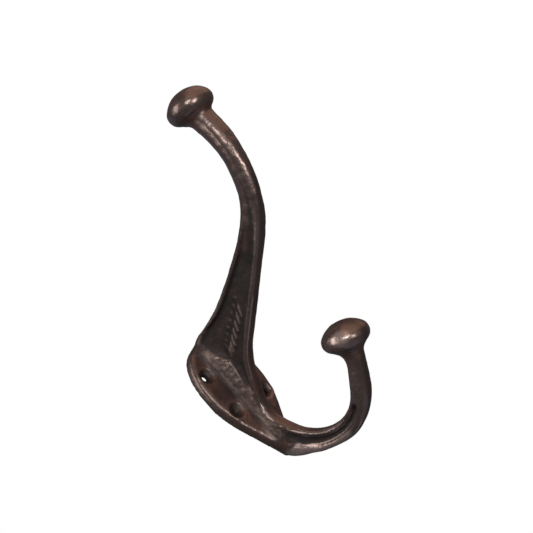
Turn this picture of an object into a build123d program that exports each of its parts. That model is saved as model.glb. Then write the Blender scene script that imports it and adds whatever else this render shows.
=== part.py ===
from build123d import *
import os
from math import acos, asin, atan2, cos, degrees, radians, sin, sqrt

os.makedirs("parts", exist_ok=True)

# Wall hook, one iron casting: shield plate, fluted upper arm, lower hook and two knobs.
# X runs right, Y runs into the wall and Z runs up. The plate's back face is Y = 0 and the
# origin is the middle of the four screw holes on it. Sizes are in millimetres.

# Plate and its screw holes
plate_width = 34.6
plate_top = 23.2
plate_tail = 37.3
tail_r = 3.4
plate_thick = 4.5
plate_edge = 1.5
hole_across = 20.6
hole_down = 19.0
hole_d = 4.4
sink_d = 8.2

# Arms: where the knob necks stand, out from the wall and above or below the origin
upper_reach = 86.7
upper_rise = 80.5
lower_reach = 63.2
lower_drop = 50.0
throat_out = 8.9
throat_drop = 17.0

# Casting sections
arm_width = 6.4
upper_bar = 10.2
lower_bar = 8.0
rail_depth = 2.1
rail_corner = 1.9
least_flat = 0.4
web_thick = 3.0
rib_count = 8
rib_long = 8.8
rib_wide = 1.1
rib_high = 0.55
rib_slant = 60.0
foot_width = 10.4

# Knobs
upper_knob_d = 20.9
upper_knob_h = 7.3
upper_knob_lean = 7.0
lower_knob_d = 20.5
lower_knob_h = 6.7
lower_knob_lean = 23.0
upper_neck = 7.3
lower_neck = 9.3
upper_flare = 3.7
lower_flare = 5.4
upper_swell = 2.2
lower_swell = 3.4
knob_rim = 0.42
knob_under = 1.05

across = Vector(1, 0, 0)


def at(out, up):
    """A point of the middle plane, out from the wall and up."""
    return Vector(0, -out, up)


def upper(a, b):
    """A point of the upper arm: a and b run from 0 at the throat to 1 at the neck."""
    out = throat_out + a * (upper_reach - throat_out)
    return at(out, b * (upper_rise + throat_drop) - throat_drop)


def lower(a, b):
    """A point of the lower arm: a runs to 1 at the neck, b to 1 at the lowest point."""
    out = throat_out + a * (lower_reach - throat_out)
    return at(out, -throat_drop - b * (lower_drop - throat_drop))


# Sections from the upper neck, down the arm, round the throat and out to the lower neck:
# front point, rear point and half width of each.
slim = arm_width / 2
root = 1.4
stations = [
    (upper(1.066, 1.004), upper(0.929, 0.996), upper_bar * 0.52),
    (upper(1.070, 0.925), upper(0.942, 0.927), upper_bar * 0.487),
    (upper(1.057, 0.830), upper(0.940, 0.848), upper_bar * 0.448),
    (upper(1.016, 0.722), upper(0.904, 0.757), slim * 1.28),
    (upper(0.949, 0.627), upper(0.849, 0.681), slim * 1.13),
    (upper(0.842, 0.537), upper(0.756, 0.612), slim * 1.03),
    (upper(0.664, 0.448), upper(0.598, 0.551), slim),
    (upper(0.460, 0.355), upper(0.361, 0.486), slim),
    (upper(0.255, 0.262), upper(0.127, 0.443), slim),
    (upper(0.112, 0.169), at(4.5, plate_top + 0.9), slim),
    (upper(0.046, 0.089), at(root, plate_top - 2.4), slim),
    (at(throat_out, -throat_drop), at(root, -throat_drop * 0.5), slim),
    (lower(0.030, 0.270), at(0.3, -plate_tail), slim),
    (lower(0.144, 0.508), lower(0.014, 0.796), slim * 1.03),
    (lower(0.308, 0.680), lower(0.228, 0.920), slim * 1.07),
    (lower(0.500, 0.742), lower(0.506, 1.000), slim * 1.11),
    (lower(0.668, 0.684), lower(0.722, 0.915), slim * 1.17),
    (lower(0.782, 0.546), lower(0.884, 0.745), lower_bar * 0.490),
    (lower(0.867, 0.410), lower(0.993, 0.532), lower_bar / 2),
    (lower(0.921, 0.289), lower(1.060, 0.386), lower_bar / 2),
]


def smooth(values, u):
    """Value at u of the natural cubic spline through values at 0, 1, 2 ..."""
    n = len(values)
    ratio = [0.0] * n
    load = [0.0] * n
    for i in range(1, n - 1):
        ratio[i] = 1 / (4 - ratio[i - 1])
        step = 6 * (values[i + 1] - 2 * values[i] + values[i - 1])
        load[i] = (step - load[i - 1]) * ratio[i]
    bend = [0.0] * n
    for i in range(n - 2, 0, -1):
        bend[i] = load[i] - ratio[i] * bend[i + 1]
    i = min(int(u), n - 2)
    t = u - i
    s = 1 - t
    line = s * values[i] + t * values[i + 1]
    return line + ((s**3 - s) * bend[i] + (t**3 - t) * bend[i + 1]) / 6


def station(u):
    """Front point, rear point and half width at u, between the listed sections too."""
    front = Vector(0, *(smooth([(row[0].Y, row[0].Z)[k] for row in stations], u) for k in (0, 1)))
    rear = Vector(0, *(smooth([(row[1].Y, row[1].Z)[k] for row in stations], u) for k in (0, 1)))
    return front, rear, smooth([row[2] for row in stations], u)


def section_plane(front, rear):
    toward = (front - rear).normalized()
    return Plane(origin=front, x_dir=across, z_dir=across.cross(toward))


def arm_section(front, rear, half):
    """A loop with round corners between the front and the rear point: a bar or a web."""
    depth = (front - rear).length
    swell = max(0.0, half - slim)
    rx = min(half - least_flat, rail_corner + 3.0 * swell)
    ry = min(depth / 2 - least_flat, rail_corner * 0.9 + 4.0 * swell)
    flat = half - rx
    loop = [
        Line((flat, 0), (-flat, 0)),
        EllipticalCenterArc((-flat, -ry), rx, ry, 90, arc_size=90),
        Line((-half, -ry), (-half, ry - depth)),
        EllipticalCenterArc((-flat, ry - depth), rx, ry, 180, arc_size=90),
        Line((-flat, -depth), (flat, -depth)),
        EllipticalCenterArc((flat, ry - depth), rx, ry, 270, arc_size=90),
        Line((half, ry - depth), (half, -ry)),
        EllipticalCenterArc((flat, -ry), rx, ry, 0, arc_size=90),
    ]
    plane = section_plane(front, rear)
    return Wire([(plane * piece).edges()[0] for piece in loop])


def neck_line(front, rear):
    """Middle of an arm's end, the way its neck runs and the way its depth runs."""
    toward = (front - rear).normalized()
    along = toward.cross(across)
    return (front + rear) / 2, along if along.Z > 0 else -along, toward


def flare(row, length, swell):
    """Sections that widen an arm's end until it is inside the knob."""
    front, rear, half = row
    middle, along, toward = neck_line(front, rear)
    sections = []
    for part in (1 / 3, 2 / 3, 1):
        r = half + swell * part**2
        centre = middle + along * (length * part)
        sections.append(arm_section(centre + toward * r, centre - toward * r, r))
    return sections


def arms():
    """Both arms and the throat between them in one loft, cut off level with the wall."""
    sections = flare(stations[0], upper_flare, upper_swell)[::-1]
    sections += [arm_section(*row) for row in stations]
    sections += flare(stations[-1], lower_flare, lower_swell)
    behind = Pos(0, 20, 0) * Box(60, 40, 300)
    return Solid.make_loft(sections) - behind


def flute(rows, floor):
    """Flute in one side of the arm: its walls keep their distance from the arm's edges."""
    fronts = []
    rears = []
    for u, front_wall, rear_wall in rows:
        front, rear, half = station(u)
        toward = (front - rear).normalized()
        fronts.append(front - toward * front_wall)
        rears.append(rear + toward * rear_wall)
    ends = [Line(fronts[k], rears[k]) for k in (0, -1)]
    return make_face(Curve([Spline(fronts), Spline(rears), *ends])).moved(Location(across * floor))


def run_out(mould, floor, start, end):
    """The mould without what lies under a ramp, from its floor at start to the flank at end."""
    front, rear, half = station(start)
    foot = (front + rear) / 2 + across * floor
    far_front, far_rear, far_half = station(end)
    slope = (far_front + far_rear) / 2 + across * (far_half + 1.0) - foot
    normal = slope.cross(front - rear)
    if normal.X < 0:
        normal = -normal
    return split(mould, bisect_by=Plane(origin=foot, z_dir=normal), keep=Keep.TOP)


def panel_mould():
    """The long web panel: it fades out up the arm and stops at a slanting lower edge."""
    rows = [
        (2.4, 4.0, 4.2),
        (3.2, 3.2, 3.4),
        (4.0, 2.7, 2.8),
        (5.0, 2.3, 2.3),
        (6.0, rail_depth, rail_depth),
        (7.0, rail_depth, rail_depth),
        (8.0, rail_depth, rail_depth),
        (9.0, rail_depth, rail_depth * 1.3),
        (10.0, rail_depth, rail_depth * 1.6),
        (11.0, rail_depth, 1.0),
    ]
    floor = web_thick / 2
    face = flute(rows, floor) - border().moved(Location(across * floor))
    mould = extrude(face, slim + 2.0 - floor, dir=(1, 0, 0))
    mould = run_out(mould, floor, 6.2, 2.9)
    return run_out(mould, floor, 9.8, 10.8)


def ribs():
    """Short slanting ribs that stand a little proud of the web on both sides."""
    bars = []
    slant = Vector(0, -cos(radians(rib_slant)), sin(radians(rib_slant)))
    for i in range(rib_count):
        front, rear, half = station(8.85 - 1.5 * i / (rib_count - 1))
        middle = front * 0.6 + rear * 0.4
        foot = Plane(middle + across * (web_thick / 2 - 0.3), x_dir=slant, z_dir=across)
        bar = extrude(foot * Rectangle(rib_long, rib_wide), rib_high + 0.3, taper=15)
        bars += [bar, mirror(bar, about=Plane.YZ)]
    return bars


def border():
    """Ground the panel leaves to the plate: a slanting edge, then a tail down the throat."""
    edge = Spline(
        at(0.4, plate_top + 4.6),
        at(plate_thick + 0.4, plate_top - 1.6),
        at(8.0, plate_top * 0.64),
        at(11.2, plate_top * 0.42),
        at(11.6, plate_top * 0.22),
        at(9.9, -throat_drop * 0.12),
        at(8.3, -throat_drop * 0.50),
        at(7.0, -throat_drop * 1.10),
    )
    rest = Polyline(edge @ 1, at(-4.0, -throat_drop * 1.1), edge @ 0)
    return make_face(Curve([edge, rest]))


def groove_mould():
    """The narrow groove of the lower arm, pointed at the throat and run out at its end."""
    rows = []
    for u, front_wall, width in (
        (11.4, 2.4, 1.2),
        (11.8, 2.2, 1.9),
        (12.4, rail_depth, 3.2),
        (13.0, rail_depth, 4.4),
        (14.0, 2.0, 3.8),
        (15.0, 1.9, 3.2),
        (16.0, 1.9, 2.7),
        (16.5, 2.1, 2.3),
        (16.9, 2.7, 1.5),
    ):
        front, rear, half = station(u)
        rows.append((u, front_wall, (front - rear).length - front_wall - width))
    floor = web_thick / 2
    mould = extrude(flute(rows, floor), slim + 2.5 - floor, dir=(1, 0, 0))
    mould = run_out(mould, floor, 12.4, 11.5)
    return run_out(mould, floor, 16.0, 16.8)


def plate():
    """Round-topped shield whose straight flanks run down to a round tail."""
    half = plate_width / 2
    tail = Vector(0, tail_r - plate_tail)
    hip = Vector(half * 0.575, -plate_tail * 0.60)
    reach = hip - tail
    turn = acos(tail_r / reach.length) - atan2(reach.Y, reach.X)
    join = tail + Vector(cos(turn), -sin(turn)) * tail_r
    side = [
        (0, plate_top),
        (half * 0.60, plate_top * 0.86),
        (half * 0.90, plate_top * 0.53),
        (half, plate_top * 0.10),
        (half * 0.970, -plate_tail * 0.17),
        (half * 0.82, -plate_tail * 0.38),
        hip,
    ]
    curve = Spline(side, tangents=[(1, 0), (join - hip).normalized()])
    right = Curve([curve, Line(hip, join)])
    end = CenterArc(tail, tail_r, -degrees(turn), 2 * degrees(turn) - 180)
    outline = make_face(Plane.XZ * Curve([right, end, mirror(right, about=Plane.YZ)]))
    slab = extrude(outline, plate_thick, dir=(0, -1, 0))
    front = slab.faces().sort_by(Axis.Y)[0]
    return fillet(front.edges(), plate_edge)


def egg(out, high, high_r, low, low_r):
    """Loop round two circles, one above the other, in a plane out from the wall."""
    tilt = asin((high_r - low_r) / (high - low))
    c, s = cos(tilt), sin(tilt)
    span = 180 + 2 * degrees(tilt)
    loop = [
        CenterArc((0, high), high_r, -degrees(tilt), span),
        Line((-high_r * c, high - high_r * s), (-low_r * c, low - low_r * s)),
        CenterArc((0, low), low_r, 180 + degrees(tilt), 180 - 2 * degrees(tilt)),
        Line((low_r * c, low - low_r * s), (high_r * c, high - high_r * s)),
    ]
    plane = Plane(origin=(0, -out, 0), x_dir=(1, 0, 0), z_dir=(0, -1, 0))
    return Wire([(plane * piece).edges()[0] for piece in loop])


def skirt():
    """Concave foot that spreads the web on to the plate."""
    return Solid.make_loft(
        [
            egg(plate_thick - 0.4, plate_top - 6.6, foot_width / 2, 6.0 - plate_tail, slim + 0.9),
            egg(plate_thick + 2.0, plate_top - 5.8, slim + 0.9, 12.0 - plate_tail, slim + 0.3),
            egg(plate_thick + 5.0, plate_top - 4.8, slim + 0.25, -4.0, slim - 0.1),
            egg(plate_thick + 9.0, plate_top - 4.0, slim - 0.5, 4.0, slim - 0.6),
        ]
    )


def crown(r, rise):
    """Two tangent arcs from a knob's widest circle to its axis: a tight rim, then a flat crown."""
    rim = r * knob_rim
    big = ((r - rim) ** 2 + rise**2 - rim**2) / (2 * (rise - rim))
    turn = degrees(atan2(big - rise, r - rim))
    return [CenterArc((r - rim, 0), rim, 0, turn), CenterArc((0, rise - big), big, turn, 90 - turn)]


def underside(r, drop):
    """A tight rim, then a straight cone down to a point on the axis inside the neck."""
    rim = r * knob_rim
    middle = Vector(r - rim, 0)
    point = Vector(0, -drop)
    reach = (middle - point).length
    slope = atan2(drop, r - rim) - asin(rim / reach)
    touch = point + Vector(cos(slope), sin(slope)) * sqrt(reach**2 - rim**2)
    return [CenterArc(middle, rim, degrees(slope) - 90, 90 - degrees(slope)), Line(touch, point)]


def knob(middle, lean, wide, high):
    """Mushroom knob, turned about an axis that leans out from the wall."""
    drop = high * knob_under
    profile = Curve([*crown(wide / 2, high), *underside(wide / 2, drop), Line((0, -drop), (0, high))])
    return stood(revolve(make_face(Plane.XZ * profile), Axis.Z), middle, lean)


def stood(shape, middle, lean):
    """Move an upright turned shape to its place and lean it out from the wall."""
    axis = Vector(0, -sin(radians(lean)), cos(radians(lean)))
    return Plane(origin=middle, x_dir=across, z_dir=axis).location * shape


def screw_hole(x, z):
    """Drilled hole with a countersink and room for the screw's head above it."""
    sink = (sink_d - hole_d) / 2
    profile = Polyline(
        (0, -1),
        (hole_d / 2, -1),
        (hole_d / 2, plate_thick - sink),
        (sink_d / 2, plate_thick),
        (sink_d / 2, plate_thick + 4),
        (0, plate_thick + 4),
        close=True,
    )
    tool = revolve(make_face(Plane.XZ * profile), Axis.Z)
    return Plane(origin=(x, 0, z), x_dir=(1, 0, 0), z_dir=(0, -1, 0)).location * tool


def casting():
    moulds = [panel_mould(), groove_mould()]
    moulds += [mirror(mould, about=Plane.YZ) for mould in moulds]
    body = plate() + skirt() + arms()
    body -= moulds
    for row, rise, size, high, lean in (
        (stations[0], upper_neck, upper_knob_d, upper_knob_h, upper_knob_lean),
        (stations[-1], lower_neck, lower_knob_d, lower_knob_h, lower_knob_lean),
    ):
        middle, along, toward = neck_line(*row[:2])
        body += knob(middle + along * rise, lean, size, high)
    corners = [(x * hole_across / 2, z * hole_down / 2) for x in (-1, 1) for z in (-1, 1)]
    body -= [screw_hole(x, z) for x, z in corners]
    body += ribs()
    return body


if __name__ == "__main__":
    export_step(casting(), "parts/hook_casting.step")
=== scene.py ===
import math

import bmesh
import bpy
import numpy as np
from mathutils import Matrix, Vector


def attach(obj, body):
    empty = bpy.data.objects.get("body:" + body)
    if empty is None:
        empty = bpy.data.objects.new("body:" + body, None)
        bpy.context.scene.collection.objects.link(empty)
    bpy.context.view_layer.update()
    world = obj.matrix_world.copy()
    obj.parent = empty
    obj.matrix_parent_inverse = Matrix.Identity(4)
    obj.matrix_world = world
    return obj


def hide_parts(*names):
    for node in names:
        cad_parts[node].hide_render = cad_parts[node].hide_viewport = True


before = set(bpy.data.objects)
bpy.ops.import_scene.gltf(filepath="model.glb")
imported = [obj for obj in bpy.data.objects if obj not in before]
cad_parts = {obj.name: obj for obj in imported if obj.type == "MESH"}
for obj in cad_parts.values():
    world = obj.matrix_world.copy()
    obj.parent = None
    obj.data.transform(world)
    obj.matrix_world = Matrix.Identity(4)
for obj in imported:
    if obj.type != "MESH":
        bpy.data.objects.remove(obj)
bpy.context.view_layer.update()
scene = bpy.context.scene


# Camera

cameraSettings = {
    "place": (-0.43413, -0.43574, -0.06696),
    "aim": (0.02384, -0.03938, 0.02754),
    "up": (0.35028, -0.58006, 0.73541),
    "lens": 98.37,
    "sensor": 36.0,
    "clip": (0.01, 20),
}


def makeCamera(settings):
    # Looks from its place to its aim, with up as near as that allows
    data = bpy.data.cameras.new("camera")
    data.lens = settings["lens"]
    data.sensor_width = settings["sensor"]
    data.clip_start, data.clip_end = settings["clip"]
    camera = bpy.data.objects.new("camera", data)
    scene.collection.objects.link(camera)
    place = Vector(settings["place"])
    back = (place - Vector(settings["aim"])).normalized()
    right = Vector(settings["up"]).cross(back).normalized()
    up = back.cross(right)
    turn = Matrix((right, up, back)).transposed().to_4x4()
    camera.matrix_world = Matrix.Translation(place) @ turn
    scene.camera = camera
    return right, up, back


right, up, back = makeCamera(cameraSettings)
print("camera made")


# Lights, placed by how far they stand to the right of, above and in front of the object

lightSettings = {
    "centre": (0.0, -0.045, 0.022),
    # name: (right, above, in front), width, height, power, colour
    "lamps": {
        "lamp": ((0.47, 0.20, 0.80), 0.20, 0.34, 5.0, (1.0, 0.89, 0.84)),
        "front": ((-0.14, 0.31, 0.93), 0.38, 0.24, 4.0, (1.0, 0.90, 0.86)),
        "window": ((-0.92, 0.06, 0.30), 0.35, 0.95, 5.2, (1.0, 0.89, 0.85)),
        "warmTop": ((0.10, 0.92, 0.00), 2.00, 1.20, 6.2, (1.0, 0.58, 0.40)),
        "coolLow": ((0.45, -0.65, 0.10), 0.80, 0.60, 0.45, (0.70, 0.70, 1.0)),
        "behind": ((-0.60, -0.50, -0.62), 0.90, 0.90, 0.45, (0.58, 0.64, 1.0)),
    },
    "ambient": (0.56, 0.52, 0.62),
    "ambientStrength": 0.08,
    "glossShare": 0.05,  # share of the white surround that the iron's shine shows
}


def makeLamps(settings):
    # Each lamp is a rectangle that faces the centre
    centre = Vector(settings["centre"])
    for name, ((x, y, z), width, height, power, colour) in settings["lamps"].items():
        data = bpy.data.lights.new(name, "AREA")
        data.shape = "RECTANGLE"
        data.size, data.size_y = width, height
        data.energy = power
        data.color = colour
        light = bpy.data.objects.new(name, data)
        scene.collection.objects.link(light)
        away = right * x + up * y + back * z
        facing = away.to_track_quat("Z", "Y").to_matrix().to_4x4()
        light.matrix_world = Matrix.Translation(centre + away) @ facing


def makeSurround(settings):
    world = bpy.data.worlds.new("studio")
    scene.world = world
    world.use_nodes = True
    tree = world.node_tree
    tree.nodes.clear()
    output = tree.nodes.new("ShaderNodeOutputWorld")
    white = tree.nodes.new("ShaderNodeBackground")
    white.inputs["Color"].default_value = (1, 1, 1, 1)
    white.inputs["Strength"].default_value = 1.0
    glow = tree.nodes.new("ShaderNodeBackground")
    glow.inputs["Color"].default_value = (*settings["ambient"], 1)
    glow.inputs["Strength"].default_value = settings["ambientStrength"]
    # White where the camera looks, a share of it in the shine, and the glow for the rest
    ray = tree.nodes.new("ShaderNodeLightPath")
    share = tree.nodes.new("ShaderNodeMath")
    share.operation = "MULTIPLY_ADD"
    share.inputs[1].default_value = settings["glossShare"]
    through = tree.nodes.new("ShaderNodeMath")
    through.operation = "ADD"
    through.use_clamp = True
    mix = tree.nodes.new("ShaderNodeMixShader")
    tree.links.new(ray.outputs["Is Glossy Ray"], share.inputs[0])
    tree.links.new(ray.outputs["Is Camera Ray"], share.inputs[2])
    tree.links.new(share.outputs[0], through.inputs[0])
    tree.links.new(ray.outputs["Is Transmission Ray"], through.inputs[1])
    tree.links.new(through.outputs[0], mix.inputs[0])
    tree.links.new(glow.outputs[0], mix.inputs[1])
    tree.links.new(white.outputs[0], mix.inputs[2])
    tree.links.new(mix.outputs[0], output.inputs[0])
    scene.view_settings.view_transform = "Standard"


makeLamps(lightSettings)
makeSurround(lightSettings)
print("lights made")


# Floor, well below the hook, which hangs on its wall

floorSettings = {
    "height": -0.24,
    "radius": 0.85,
    "fade": 0.35,  # width of the rim that fades out
    "corners": 96,
    "colour": (0.74, 0.90, 0.96),
    "roughness": 0.8,
    "shine": 0.2,
}


def floorPaint(settings):
    material = bpy.data.materials.new("floorPaint")
    material.use_nodes = True
    tree = material.node_tree
    shader = tree.nodes["Principled BSDF"]
    shader.inputs["Base Color"].default_value = (*settings["colour"], 1)
    shader.inputs["Roughness"].default_value = settings["roughness"]
    shader.inputs["Specular IOR Level"].default_value = settings["shine"]
    # Clear beyond the rim: distance from the middle, on the flat
    place = tree.nodes.new("ShaderNodeTexCoord")
    flat = tree.nodes.new("ShaderNodeVectorMath")
    flat.operation = "MULTIPLY"
    flat.inputs[1].default_value = (1, 1, 0)
    reach = tree.nodes.new("ShaderNodeVectorMath")
    reach.operation = "LENGTH"
    fade = tree.nodes.new("ShaderNodeMapRange")
    fade.interpolation_type = "SMOOTHSTEP"
    fade.inputs["From Min"].default_value = settings["radius"] - settings["fade"]
    fade.inputs["From Max"].default_value = settings["radius"]
    clear = tree.nodes.new("ShaderNodeBsdfTransparent")
    mix = tree.nodes.new("ShaderNodeMixShader")
    tree.links.new(place.outputs["Object"], flat.inputs[0])
    tree.links.new(flat.outputs[0], reach.inputs[0])
    tree.links.new(reach.outputs["Value"], fade.inputs["Value"])
    tree.links.new(fade.outputs[0], mix.inputs[0])
    tree.links.new(shader.outputs[0], mix.inputs[1])
    tree.links.new(clear.outputs[0], mix.inputs[2])
    tree.links.new(mix.outputs[0], tree.nodes["Material Output"].inputs[0])
    return material


def makeFloor(settings):
    # A flat disc: corners evenly round a circle
    corners = settings["corners"]
    around = np.linspace(0, 2 * math.pi, corners, endpoint=False)
    ring = np.stack([np.cos(around), np.sin(around), np.zeros(corners)], axis=1)
    ring = ring * settings["radius"] + (0, 0, settings["height"])
    mesh = bpy.data.meshes.new("floor")
    mesh.from_pydata(ring.tolist(), [], [list(range(corners))])
    mesh.materials.append(floorPaint(settings))
    floor = bpy.data.objects.new("floor", mesh)
    scene.collection.objects.link(floor)
    floor.visible_diffuse = False
    floor.visible_glossy = False


makeFloor(floorSettings)
print("floor made")


# Iron: dark brown patina, blacker in the hollows as dirt and painted shade, and paler grey brown on the
# edges as wear and painted highlight

ironSettings = {
    "dark": (0.036, 0.0185, 0.0150),
    "brown": (0.084, 0.039, 0.026),
    # Dirt and painted shade: the near black laid in hollows, recesses and grooves
    "dirtAndShade": (0.0150, 0.0155, 0.0160),
    # Wear and painted highlight: the paler grey brown of edges, rails and rubbed spots
    "wornAndLit": (0.140, 0.116, 0.106),
    # The rough band's own tone, painted paler where its rough face catches the light
    "castAndLit": (0.108, 0.079, 0.066),
    # Paler still, where the wear and painted highlight are strongest
    "bareAndLit": (0.380, 0.315, 0.290),
    # How far each of these covers what is under it
    "cover": {"dirtAndShade": 0.80, "wornAndLit": 0.60, "castAndLit": 0.80, "bareAndLit": 0.80},
    # Where each begins to show and where it is full
    "patinaSpan": (0.36, 0.62),
    "dirtAndShadeSpan": (0.05, 0.75),
    "wornAndLitSpan": (0.35, 1.0),
    "castAndLitSpan": (0.35, 1.0),
    "bareAndLitSpan": (1.0, 1.9),
    # How much the noises break up each
    "wornAndLitMottle": 0.55,
    "wornAndLitGrain": 0.45,
    "castAndLitMottle": 2.2,
    "castAndLitMiddle": 0.55,  # the rough band gains where the noise is above this
    "dirtAndShadeMottle": 0.4,
    # Metal shows where the edges are worn and painted lit; in the dirt and painted shade a black metal
    # dulls the shine
    "metal": 0.25,
    "metalWornAndLit": 0.4,
    "metalDirtAndShade": 0.5,
    "metalMost": 0.92,
    "roughness": 0.30,
    "roughMottle": 0.12,
    "roughDirtAndShade": 0.22,
    "roughWornAndLit": 0.06,
    "ior": 1.9,
    # Noises: how many blobs to a millimetre, detail, roughness, seed
    "blotch": (0.11, 3, 0.6, 3.1),
    "mottle": (0.75, 5, 0.65, 7.7),
    "grain": (2.4, 4, 0.7, 1.3),
    "dimple": (0.55, 1.5, 0.5, 5.9),
    "patinaBlotch": 0.6,
    "patinaMottle": 0.4,
    "bumpMottle": 0.27,
    "bumpStrength": 0.28,
    "bumpHeight": 0.0004,
}


def makeIron(settings):
    material = bpy.data.materials.new("iron")
    material.use_nodes = True
    tree = material.node_tree
    nodes, links = tree.nodes, tree.links
    shader = nodes["Principled BSDF"]
    shader.inputs["IOR"].default_value = settings["ior"]

    place = nodes.new("ShaderNodeTexCoord")
    millimetres = nodes.new("ShaderNodeVectorMath")
    millimetres.operation = "SCALE"
    millimetres.inputs["Scale"].default_value = 1000
    links.new(place.outputs["Object"], millimetres.inputs[0])

    def noise(perMm, detail, roughness, seed):
        # Cloudy noise on the object's own millimetres, shifted by its seed
        source = nodes.new("ShaderNodeTexNoise")
        source.inputs["Scale"].default_value = perMm
        source.inputs["Detail"].default_value = detail
        source.inputs["Roughness"].default_value = roughness
        shift = nodes.new("ShaderNodeVectorMath")
        shift.operation = "ADD"
        shift.inputs[1].default_value = (seed, seed * 1.7, seed * 2.3)
        links.new(millimetres.outputs[0], shift.inputs[0])
        links.new(shift.outputs[0], source.inputs["Vector"])
        return source.outputs[0]

    def span(value, low, high):
        # 0 at low and 1 at high, smooth between
        node = nodes.new("ShaderNodeMapRange")
        node.interpolation_type = "SMOOTHSTEP"
        node.inputs["From Min"].default_value = low
        node.inputs["From Max"].default_value = high
        links.new(value, node.inputs["Value"])
        return node.outputs[0]

    def calc(kind, a, b):
        # One sum of two sockets or numbers
        node = nodes.new("ShaderNodeMath")
        node.operation = kind
        for socket, value in zip(node.inputs, (a, b)):
            if isinstance(value, (int, float)):
                socket.default_value = value
            else:
                links.new(value, socket)
        return node.outputs[0]

    def brokenBy(value, source, amount, middle=0.5):
        # The value, raised and lowered by a noise
        return calc("ADD", value, calc("MULTIPLY", calc("SUBTRACT", source, middle), amount))

    def blendColour(share, a, b):
        # a where the share is 0 and b where it is 1
        node = nodes.new("ShaderNodeMix")
        node.data_type = "RGBA"
        links.new(share, node.inputs["Factor"])
        for socket, value in ((node.inputs[6], a), (node.inputs[7], b)):
            if isinstance(value, tuple):
                socket.default_value = (*value, 1)
            else:
                links.new(value, socket)
        return node.outputs[2]

    def attribute(name):
        # A value that the skin's points carry
        node = nodes.new("ShaderNodeAttribute")
        node.attribute_name = name
        return node.outputs["Fac"]

    blotch = noise(*settings["blotch"])
    mottle = noise(*settings["mottle"])
    grain = noise(*settings["grain"])
    dimple = noise(*settings["dimple"])

    # Paler wear and painted highlight, on edges, rails, the strokes' tops and rubbed spots
    wearAndHighlight = brokenBy(attribute("wearAndHighlight"), mottle, settings["wornAndLitMottle"])
    wearAndHighlight = brokenBy(wearAndHighlight, grain, settings["wornAndLitGrain"])
    wornAndLit = span(wearAndHighlight, *settings["wornAndLitSpan"])
    bareAndLit = span(wearAndHighlight, *settings["bareAndLitSpan"])
    # The rough band's own tone, painted paler where it catches the light
    castAndLit = brokenBy(attribute("castAndLit"), mottle, settings["castAndLitMottle"], settings["castAndLitMiddle"])
    castAndLit = calc("MULTIPLY", span(castAndLit, *settings["castAndLitSpan"]), attribute("castAndLit"))
    # Black dirt and painted shade, from the hollows, recesses and grooves
    dirtAndShade = brokenBy(attribute("dirtAndShade"), mottle, settings["dirtAndShadeMottle"])
    dirtAndShade = span(dirtAndShade, *settings["dirtAndShadeSpan"])

    patina = calc("MULTIPLY", blotch, settings["patinaBlotch"])
    patina = calc("ADD", patina, calc("MULTIPLY", mottle, settings["patinaMottle"]))
    patina = span(patina, *settings["patinaSpan"])
    colour = blendColour(patina, settings["dark"], settings["brown"])
    for name, share in (("dirtAndShade", dirtAndShade), ("wornAndLit", wornAndLit), ("castAndLit", castAndLit), ("bareAndLit", bareAndLit)):
        over = calc("MULTIPLY", share, settings["cover"][name])
        colour = blendColour(over, colour, settings[name])
    links.new(colour, shader.inputs["Base Color"])

    metal = calc("MULTIPLY", wornAndLit, settings["metalWornAndLit"])
    metal = calc("ADD", metal, calc("MULTIPLY", dirtAndShade, settings["metalDirtAndShade"]))
    metal = calc("MINIMUM", calc("ADD", metal, settings["metal"]), settings["metalMost"])
    links.new(metal, shader.inputs["Metallic"])

    rough = calc("ADD", settings["roughness"], calc("MULTIPLY", mottle, settings["roughMottle"]))
    rough = calc("ADD", rough, calc("MULTIPLY", dirtAndShade, settings["roughDirtAndShade"]))
    rough = calc("SUBTRACT", rough, calc("MULTIPLY", wornAndLit, settings["roughWornAndLit"]))
    links.new(rough, shader.inputs["Roughness"])

    bump = nodes.new("ShaderNodeBump")
    bump.inputs["Strength"].default_value = settings["bumpStrength"]
    bump.inputs["Distance"].default_value = settings["bumpHeight"]
    height = calc("ADD", dimple, calc("MULTIPLY", mottle, settings["bumpMottle"]))
    links.new(height, bump.inputs["Height"])
    links.new(bump.outputs[0], shader.inputs["Normal"])
    return material


iron = makeIron(ironSettings)
print("iron made")


# Casting: the CAD solid with its edges softened, as sand casting and a century of use leave it

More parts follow.
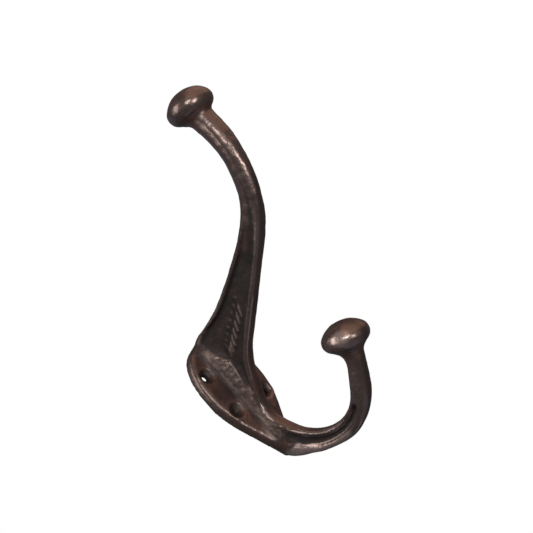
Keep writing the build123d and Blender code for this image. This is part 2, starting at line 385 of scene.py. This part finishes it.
castingSettings = {
    "mergeWithin": 1e-6,  # the solid's corners nearer than this are one, in metres
    "voxel": 0.00046,  # size of the skin's faces, in metres
    "wallRoom": 0.0008,  # the roughening fades in over this distance from the wall, in metres
    "wallFlat": 0.3,  # share of it, next to the wall, that keeps the solid's depth
    "softenRounds": 4,
    "softenShare": 0.6,
    "softenSunk": 0.4,  # how much less the sunk panel is softened
    "rimRounds": 36,
    # Places the iron stands proud: x, out, z and radius in mm, height in mm
    "swells": (((-2.2, 5.0, 22.0), 8.0, 1.5),),
    # Places where the iron ran together: x, out, z and radius in mm, rounds of smoothing, and
    # whether it only fills the corners
    "melts": (
        ((0.0, 5.0, 21.0), 11.0, 160, True),
        ((0.0, 5.0, 22.0), 8.0, 40, False),
        ((0.0, 7.0, -22.0), 10.0, 60, True),
        ((0.0, 6.0, 0.0), 18.0, 60, True),
        ((0.0, 90.0, 81.0), 14.0, 60, True),
        ((0.0, 69.0, -27.0), 14.0, 30, True),
        ((-3.0, 9.0, -38.0), 11.0, 90, False),
        ((-3.5, 8.0, -17.0), 10.0, 24, False),
        ((-2.0, 27.0, -43.0), 24.0, 22, False),
    ),
    # Share of the radius inside which each is full; a spot is a place rubbed or dirty
    "swellCore": 0.0,
    "meltCore": 0.5,
    "spotCore": 0.3,
    # Zones of the casting: each band is a measure in mm, where the zone begins and where it is full
    "zones": {
        "sunk": (("across", 2.9, 2.3), ("out", 6.5, 8.0), ("out", 86.0, 80.0)),
        "solid": (("toHole", 4.4, 5.2),),
        "rim": (("out", 0.6, 1.8), ("out", 6.0, 5.0), ("high", -31.0, -26.0), ("toHole", 4.4, 5.2)),
        "offPlate": (("out", 1.0, 4.0),),
        "panelFloor": (("across", 2.1, 1.7), ("out", 6.5, 8.0), ("out", 86.0, 80.0)),
        "panel": (("across", 2.4, 2.1), ("out", 10.0, 12.0), ("out", 52.0, 48.0)),
        "strokes": (
            ("across", 1.53, 1.72),
            ("across", 2.4, 2.1),
            ("out", 13.0, 16.0),
            ("out", 48.0, 44.0),
            ("pastEnds", 0.0, -0.8),
        ),
        "strokeEnds": (
            ("across", 2.4, 2.1),
            ("out", 10.0, 12.0),
            ("out", 52.0, 48.0),
            ("nearEnds", 1.1, 0.5),
        ),
        "upperFlats": (("across", 3.6, 3.1), ("out", 50.0, 64.0), ("high", 60.0, 48.0)),
        "faintGroove": (("nearGroove", 2.6, 0.8), ("high", 28.0, 34.0), ("high", 61.0, 54.0)),
        "holes": (("toHole", 3.7, 2.3),),
        "plateFace": (("out", 5.8, 5.0), ("toHole", 4.4, 5.2)),
        "flange": (("across", 2.5, 3.0), ("out", 10.0, 18.0), ("out", 84.0, 74.0)),
        "behindGroove": (("high", 24.0, 32.0), ("pastGroove", 2.4, 0.8)),
        "skirtBand": (
            ("out", 4.7, 5.8),
            ("out", 14.0, 12.0),
            ("across", 2.3, 3.2),
            ("high", 21.0, 17.5),
            ("high", -35.0, -28.0),
        ),
        "lowerFlange": (("across", 2.4, 2.9), ("high", -31.0, -35.0), ("out", 26.0, 12.0)),
    },
    # The strokes' upper ends lie on a slanting line
    "endsHigh": 4.9,  # its height at the wall, in mm
    "endsRise": 0.462,  # and its rise for each mm out
    # The faint groove that carries the panel on up the arm, only painted as a dark line of shade:
    # heights, and how far out it is there
    "grooveHigh": (31.0, 38.0, 42.0, 48.0, 58.0),
    "grooveOut": (59.0, 73.0, 77.0, 82.0, 86.0),
    # Curvature: rounds of smoothing, then for ridges and for hollows the height in metres that
    # counts as full, and its amount
    "curvature": ((14, (0.00012, 0.9), (0.00010, 0.25)), (60, (0.0005, 0.1), (0.0004, 0.6))),
    # Places painted paler, as wear and as painted highlight: x, out, z and radius in mm, amount
    "rubbedAndLit": (
        ((-3.3, 4.0, -36.0), 4.0, 1.1),
        ((-3.3, 9.0, -40.0), 5.5, 3.0),
        ((-3.3, 15.0, -42.5), 5.5, 2.4),
        ((-3.0, 21.0, -44.5), 5.0, 1.0),
        ((-3.0, 13.0, -33.0), 4.0, 0.5),
        ((-3.3, 31.0, -46.5), 9.0, 1.1),
        # a painted highlight on the lower knob
        ((-8.5, 71.0, -19.0), 5.5, 0.8),
        ((-7.0, 94.0, 87.0), 6.0, 0.15),
    ),
    # Places painted darker as shade, the same way: in the lower arm's groove, at the rear rail's foot
    # and near the lower knob
    "shadeSpots": (
        ((-2.2, 5.0, 22.0), 8.0, 0.9),
        ((-1.8, 12.5, -35.8), 4.5, 0.6),
        ((-2.2, 9.0, -32.8), 3.5, 0.9),
        ((-1.8, 21.0, -40.5), 5.0, 0.4),
        ((-1.8, 31.0, -42.5), 5.0, 0.3),
        ((0.0, 72.0, -13.0), 9.0, 0.35),
    ),
    # Painted shade in each zone: the panel's floor, the strokes' upper ends, the faint groove and the
    # holes, and a little darkening on the plate's face
    "zoneShade": {"panelFloor": 0.36, "strokeEnds": 1.7, "faintGroove": 0.9, "holes": 0.8, "plateFace": 0.2},
    "flatsShade": 0.4,  # painted shade on the flats above the panel, outside what is sunk
    # Wear and painted highlight on the flanges, and more of it higher up, where the rail's crest is
    # painted lit: where that begins, where it is full, amount
    "flangeWearAndSheen": 0.12,
    "flangeSheenHigher": ((2.0, 8.0, 0.23), (20.0, 30.0, 0.3)),
    # the strokes' tops painted paler, as wear and as painted highlight
    "strokeWearAndSheen": 1.4,
    "rimShadeSpared": 0.15,  # share of the dirt and painted shade that the plate's rim is spared
    "rimSpared": 0.3,  # and of the wear and painted highlight
    "panelSpared": 0.85,  # share of the wear and painted highlight that the panel is spared
    "wearAndHighlightRounds": 4,
    "dirtAndShadeRounds": 8,
    # Unevenness of the whole skin and of the rough band, sizes and heights in mm
    "waveSizes": (9.0, 3.2, 1.3),
    "waveHeights": (0.045, 0.020, 0.009),
    "waveSeed": 11,
    "castSize": 2.1,
    "castHeight": 0.055,
    "castSeed": 5,
    "castLower": 0.6,  # the band is thinner on the lower arm
    # Old paint in the screw holes: x, z and thickness in mm, thicker towards the wall
    "bores": ((-10.3, 9.5, 0.6), (10.3, 9.5, 0.3), (-10.3, -9.5, 1.25), (10.3, -9.5, 0.3)),
    "boreRadius": 2.2,
    "boreFade": (0.5, 0.1),  # beyond the radius, where the paint begins and where it is full
    "boreMouth": (0.2, 0.9),  # the same out from the wall
    "boreMore": 0.6,  # how much thicker it is near the wall
    "boreMoreSpan": (2.6, 1.2),  # out from the wall, where that begins and where it is full
}

outwards = np.array([1000, -1000, 1000])  # metres in the frame to mm right, out and up


def unevenness(points, size, seed, count=40):
    # Sum of plane waves in random directions, half to twice the size in mm long, divided by the
    # root of half their number, so that its spread is 1
    draw = np.random.default_rng(seed)
    directions = draw.normal(size=(count, 3))
    directions /= np.linalg.norm(directions, axis=1)[:, None]
    lengths = size * draw.uniform(0.5, 2.0, count)
    phases = draw.uniform(0, 2 * math.pi, count)
    waves = np.sin(points @ (directions * (2 * math.pi / lengths)[:, None]).T + phases)
    return waves.sum(axis=1) / math.sqrt(count / 2)


def step(values, low, high):
    # 0 at low and 1 at high, smooth between
    t = np.clip((values - low) / (high - low), 0, 1)
    return t * t * (3 - 2 * t)


def measuresOf(points):
    # Distances in mm from the middle plane, out from the wall and up
    across, out, high = (points * outwards).T
    return {"across": np.abs(across), "out": out, "high": high}


def addMeasures(measures, points, settings):
    # Distance from the nearest screw hole's axis, seen from the front; how far above the line
    # of the strokes' ends; and how far in front of the faint groove
    out, high = measures["out"], measures["high"]
    x = points[:, 0] * 1000
    toAxes = [np.hypot(x - boreX, high - boreZ) for boreX, boreZ, _ in settings["bores"]]
    measures["toHole"] = np.min(toAxes, axis=0)
    measures["pastEnds"] = high - settings["endsHigh"] - settings["endsRise"] * out
    measures["pastGroove"] = out - np.interp(high, settings["grooveHigh"], settings["grooveOut"])
    measures["nearEnds"] = np.abs(measures["pastEnds"])
    measures["nearGroove"] = np.abs(measures["pastGroove"])


def zone(bands, measures):
    # Product of the bands: 1 inside them all, 0 outside
    share = 1.0
    for measure, begins, full in bands:
        share = share * step(measures[measure], begins, full)
    return share


def distanceFrom(points, middle):
    # Straight distance in mm from a place given as x, out and z
    return np.linalg.norm(points * outwards - middle, axis=1)


def addSpots(values, points, spots, core):
    # Each spot adds its amount inside its core, and less from there to its radius
    for middle, radius, amount in spots:
        values = values + amount * step(distanceFrom(points, middle) / radius, 1.0, core)
    return values


def meshArrays(mesh):
    # The mesh's points and edges as arrays, a row for each
    points = np.empty(len(mesh.vertices) * 3)
    mesh.vertices.foreach_get("co", points)
    edges = np.empty(len(mesh.edges) * 2, dtype=np.int32)
    mesh.edges.foreach_get("vertices", edges)
    return points.reshape(-1, 3), edges.reshape(-1, 2)


def placePoints(mesh, points):
    # Moves the mesh's points and gives their normals there
    mesh.vertices.foreach_set("co", points.ravel())
    mesh.update()
    normals = np.empty(len(mesh.vertices) * 3)
    mesh.vertex_normals.foreach_get("vector", normals)
    return normals.reshape(-1, 3)


def spread(values, edges, rounds):
    # Each row of values becomes the mean of its neighbours along the edges, round after round
    degree = np.bincount(edges.ravel(), minlength=len(values)).astype(float)
    if values.ndim > 1:
        degree = degree[:, None]
    for _ in range(rounds):
        total = np.zeros_like(values)
        np.add.at(total, edges[:, 0], values[edges[:, 1]])
        np.add.at(total, edges[:, 1], values[edges[:, 0]])
        values = total / degree
    return values


def melt(points, edges, share, rounds):
    # Only the points with a share move, each by it towards the mean of its neighbours
    near = edges[(share[edges] > 0).any(axis=1)]
    used, local = np.unique(near, return_inverse=True)
    local = local.reshape(-1, 2)
    moved = points[used]
    weight = share[used][:, None]
    degree = np.bincount(local.ravel(), minlength=len(used))[:, None]
    for _ in range(rounds):
        total = np.zeros_like(moved)
        np.add.at(total, local[:, 0], moved[local[:, 1]])
        np.add.at(total, local[:, 1], moved[local[:, 0]])
        moved = moved + weight * (total / degree - moved)
    points = points.copy()
    points[used] = moved
    return points


def fineSkin(node, settings):
    # An even skin of small faces over a copy of the CAD solid
    mesh = node.data.copy()
    work = bmesh.new()
    work.from_mesh(mesh)
    bmesh.ops.remove_doubles(work, verts=work.verts, dist=settings["mergeWithin"])
    work.to_mesh(mesh)
    work.free()
    mesh.materials.clear()
    rough = bpy.data.objects.new("roughCasting", mesh)
    scene.collection.objects.link(rough)
    remesh = rough.modifiers.new("remesh", "REMESH")
    remesh.mode = "VOXEL"
    remesh.voxel_size = settings["voxel"]
    graph = bpy.context.evaluated_depsgraph_get()
    skin = bpy.data.meshes.new_from_object(rough.evaluated_get(graph))
    skin.name = "hookSkin"
    bpy.data.objects.remove(rough)
    return skin


def runTogether(points, normals, edges, measures, settings):
    # Swells push the iron out along its normals; melts let it flow together, some of them only
    # outwards, so that they fill corners and take nothing off edges
    for middle, radius, height in settings["swells"]:
        away = distanceFrom(points, middle) / radius
        rise = height / 1000 * step(away, 1.0, settings["swellCore"])
        rise = rise * zone(settings["zones"]["offPlate"], measures)
        points = points + normals * rise[:, None]
    solid = zone(settings["zones"]["solid"], measures)
    for middle, radius, rounds, fills in settings["melts"]:
        share = step(distanceFrom(points, middle) / radius, 1.0, settings["meltCore"]) * solid
        share[points[:, 1] > -settings["wallRoom"] * settings["wallFlat"]] = 0
        melted = melt(points, edges, share * settings["softenShare"], rounds)
        if fills:
            rise = ((melted - points) * normals).sum(axis=1)
            melted = points + normals * np.maximum(rise, 0)[:, None]
        points = melted
    return points


def wearDirtAndPaintedLight(points, normals, edges, measures, settings):
    # The first value says how worn and how painted lit each point is, the second how dirty and how
    # painted shaded. Both start from how far it stands out from its smoothed neighbourhood: edges above
    # 0, hollows below
    zones = settings["zones"]
    wearAndHighlight = 0.0
    dirtAndShade = 0.0
    for rounds, (ridgeFull, ridgeAmount), (hollowFull, hollowAmount) in settings["curvature"]:
        bulge = ((points - spread(points, edges, rounds)) * normals).sum(axis=1)
        wearAndHighlight = wearAndHighlight + np.clip(bulge / ridgeFull, 0, 1) * ridgeAmount
        dirtAndShade = dirtAndShade + np.clip(-bulge / hollowFull, 0, 1) * hollowAmount
    wearAndHighlight = addSpots(wearAndHighlight, points, settings["rubbedAndLit"], settings["spotCore"])
    dirtAndShade = addSpots(dirtAndShade, points, settings["shadeSpots"], settings["spotCore"])

    # Painted shade darkens the panel's floor and the flats above it, the strokes' upper ends, the faint
    # groove and the holes, and a little of the plate
    rim = zone(zones["rim"], measures)
    flats = zone(zones["upperFlats"], measures) * (1 - zone(zones["sunk"], measures))
    zoneShade = settings["flatsShade"] * flats
    for name, amount in settings["zoneShade"].items():
        zoneShade = zoneShade + amount * zone(zones[name], measures)
    dirtAndShade = dirtAndShade * (1 - settings["rimShadeSpared"] * rim) + zoneShade
    dirtAndShade = spread(dirtAndShade, edges, settings["dirtAndShadeRounds"])

    # The flanges and the strokes' tops are painted paler, as wear and as painted highlight, though not
    # the flats behind the faint groove
    flangeRubAndSheen = settings["flangeWearAndSheen"]
    for begins, full, more in settings["flangeSheenHigher"]:
        flangeRubAndSheen = flangeRubAndSheen + more * step(measures["high"], begins, full)
    flange = zone(zones["flange"], measures) * (1 - zone(zones["behindGroove"], measures))
    wearAndHighlight = wearAndHighlight * (1 - settings["rimSpared"] * rim) + flangeRubAndSheen * flange
    wearAndHighlight = wearAndHighlight * (1 - settings["panelSpared"] * zone(zones["panel"], measures))
    wearAndHighlight = spread(wearAndHighlight, edges, settings["wearAndHighlightRounds"])
    wearAndHighlight = wearAndHighlight + settings["strokeWearAndSheen"] * zone(zones["strokes"], measures)
    return wearAndHighlight, dirtAndShade


def unevenLift(millimetres, castAndLit, settings):
    # Long, middling and short waves all over, and more on the rough band, in mm
    lift = 0.0
    for i, (size, height) in enumerate(zip(settings["waveSizes"], settings["waveHeights"])):
        lift = lift + height * unevenness(millimetres, size, settings["waveSeed"] + i)
    roughness = unevenness(millimetres, settings["castSize"], settings["castSeed"])
    return lift + castAndLit * settings["castHeight"] * roughness


def paintBores(points, millimetres, settings):
    # Old paint draws each hole's wall in towards its axis
    out = -millimetres[:, 1]
    for x, z, thickness in settings["bores"]:
        toAxis = np.stack([x - millimetres[:, 0], 0 * out, z - millimetres[:, 2]], axis=1)
        away = np.linalg.norm(toAxis, axis=1)[:, None]
        inBore = thickness * step(away[:, 0] - settings["boreRadius"], *settings["boreFade"])
        inBore *= step(out, *settings["boreMouth"])
        inBore *= 1 + settings["boreMore"] * step(out, *settings["boreMoreSpan"])
        points = points + toAxis / away * (inBore / 1000)[:, None]
    return points


def makeCasting(settings):
    zones = settings["zones"]
    skin = fineSkin(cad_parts["hook_casting"], settings)
    points, edges = meshArrays(skin)
    cadPoints = points.copy()

    # Edges are rounded all over, less in the sunk panel, to keep its strokes, and then the
    # plate's rim more, clear of the screw holes
    measures = measuresOf(points)
    share = settings["softenShare"] - settings["softenSunk"] * zone(zones["sunk"], measures)
    points = melt(points, edges, share, settings["softenRounds"])
    addMeasures(measures, points, settings)
    share = settings["softenShare"] * zone(zones["rim"], measures)
    points = melt(points, edges, share, settings["rimRounds"])
    normals = placePoints(skin, points)
    points = runTogether(points, normals, edges, measures, settings)
    normals = placePoints(skin, points)
    wearAndHighlight, dirtAndShade = wearDirtAndPaintedLight(points, normals, edges, measures, settings)

    # The band of rough iron between the web and the plate, and down the lower arm's outer flange, whose
    # colour is also painted paler where it catches the light
    measures = measuresOf(points)
    castAndLit = zone(zones["skirtBand"], measures)
    castAndLit = castAndLit + settings["castLower"] * zone(zones["lowerFlange"], measures)
    millimetres = points * 1000
    lift = unevenLift(millimetres, castAndLit, settings)
    lift *= np.clip(-points[:, 1] / settings["wallRoom"], 0, 1)
    points = paintBores(points, millimetres, settings)
    points = points + normals * (lift / 1000)[:, None]

    # The back stays flat on the wall
    points[:, 1] = np.minimum(points[:, 1], 0)
    flat = cadPoints[:, 1] > -settings["wallRoom"] * settings["wallFlat"]
    points[flat, 1] = cadPoints[flat, 1]
    skin.vertices.foreach_set("co", points.ravel())
    for name, values in (("wearAndHighlight", wearAndHighlight), ("dirtAndShade", dirtAndShade), ("castAndLit", castAndLit)):
        made = skin.attributes.new(name, "FLOAT", "POINT")
        made.data.foreach_set("value", values.astype(np.float32))
    skin.polygons.foreach_set("use_smooth", np.ones(len(skin.polygons), dtype=bool))
    skin.materials.clear()
    skin.materials.append(iron)
    skin.update()

    casting = bpy.data.objects.new("hookSkin", skin)
    scene.collection.objects.link(casting)
    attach(casting, "root")
    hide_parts("hook_casting")
    print("casting made:", len(skin.vertices), "points,", 2 * len(skin.polygons), "triangles")


makeCasting(castingSettings)
